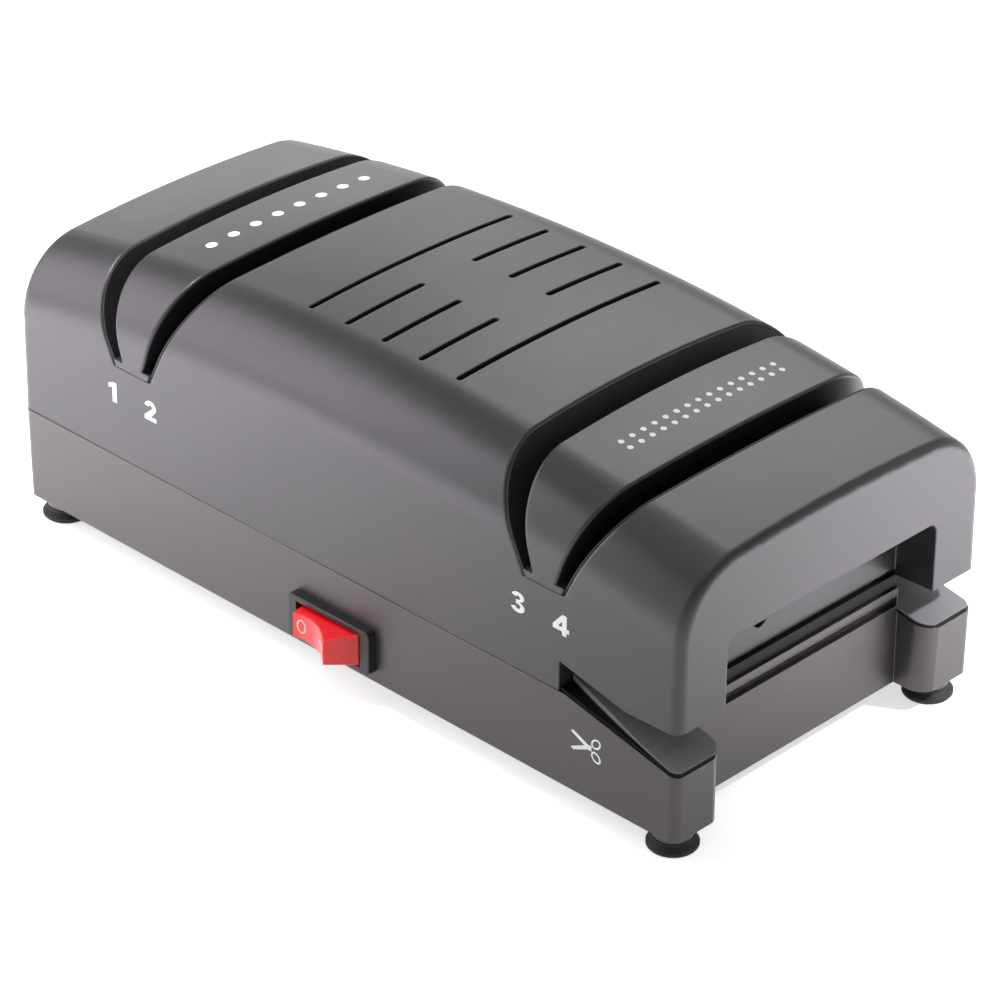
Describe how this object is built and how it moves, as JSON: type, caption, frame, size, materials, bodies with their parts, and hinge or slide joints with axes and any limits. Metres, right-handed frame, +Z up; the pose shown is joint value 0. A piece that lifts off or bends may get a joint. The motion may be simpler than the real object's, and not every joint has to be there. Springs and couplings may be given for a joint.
{
  "type": "electric knife sharpener",
  "caption": "Low crowned bench sharpener with slanted knife slots either side of two wheel covers, a scissors slot at one end, a front rocker switch and rubber feet.",
  "frame": {"origin": "middle of the footprint, on the table under the feet", "axes": "+X along the length to the scissors end, -Y out of the switch side, +Z up"},
  "size_m": [0.25, 0.1373, 0.0972],
  "materials": {
    "housing_grey": "satin gunmetal",
    "black_plastic": "fine texture",
    "foot_rubber": "matt",
    "rocker_red": "translucent red, glossy",
    "fan_plastic": "moulded",
    "tray_plastic": "moulded",
    "brass_tabs": "tinned",
    "bush_bronze": "sintered",
    "winding_copper": "enamelled copper",
    "lamination_steel": "stacked laminations",
    "bracket_aluminium": "cast",
    "coarse_abrasive": "vitrified abrasive, coarse grit",
    "fine_abrasive": "vitrified abrasive, fine grit",
    "magnet_ferrite": "sintered ferrite",
    "bright_steel": "zinc plated"
  },
  "bodies": {
    "housing": {"arch_screw": "bright_steel", "base_housing": "housing_grey", "bush_left": "bush_bronze", "bush_right": "bush_bronze", "coarse_cover_screws": "bright_steel", "coarse_slot_guide": "black_plastic", "coarse_swarf_tray": "tray_plastic", "coarse_wheel_cover": "housing_grey", "cord_gland": "black_plastic", "fine_cover_screws": "bright_steel", "fine_slot_guide": "black_plastic", "fine_swarf_tray": "tray_plastic", "fine_wheel_cover": "housing_grey", "foot_back_left": "foot_rubber", "foot_back_right": "foot_rubber", "foot_front_left": "foot_rubber", "foot_front_right": "foot_rubber", "foot_screws": "bright_steel", "housing_screws": "bright_steel", "motor_bracket_left": "bracket_aluminium", "motor_bracket_right": "bracket_aluminium", "motor_screws": "bright_steel", "motor_tie_bolts": "bright_steel", "scissor_deck": "black_plastic", "scissor_deck_screws": "bright_steel", "scissor_roof": "black_plastic", "scissor_roof_screws": "bright_steel", "stator_core": "lamination_steel", "stator_windings": "winding_copper", "swarf_magnets": "magnet_ferrite", "switch_frame": "black_plastic", "switch_pin": "bright_steel", "switch_terminals": "brass_tabs", "top_cover": "housing_grey"},
    "rotor": {"motor_shaft": "bright_steel", "rotor_core": "lamination_steel", "cooling_fan": "fan_plastic", "coarse_wheel": "coarse_abrasive", "coarse_hub": "bright_steel", "coarse_nut": "bright_steel", "fine_wheel": "fine_abrasive", "fine_hub": "bright_steel", "fine_nut": "bright_steel"},
    "rocker": {"switch_rocker": "rocker_red"}
  },
  "joints": [
    {"name": "rotor_spin", "type": "hinge", "parent": "housing", "child": "rotor", "pos_m": [0, 0, 0.052], "axis": [1, 0, 0], "continuous": true},
    {"name": "rocker_tilt", "type": "hinge", "parent": "housing", "child": "rocker", "pos_m": [0.0014, -0.0588, 0.01615], "axis": [0, 0, 1], "range_deg": [0, 31]}
  ]
}
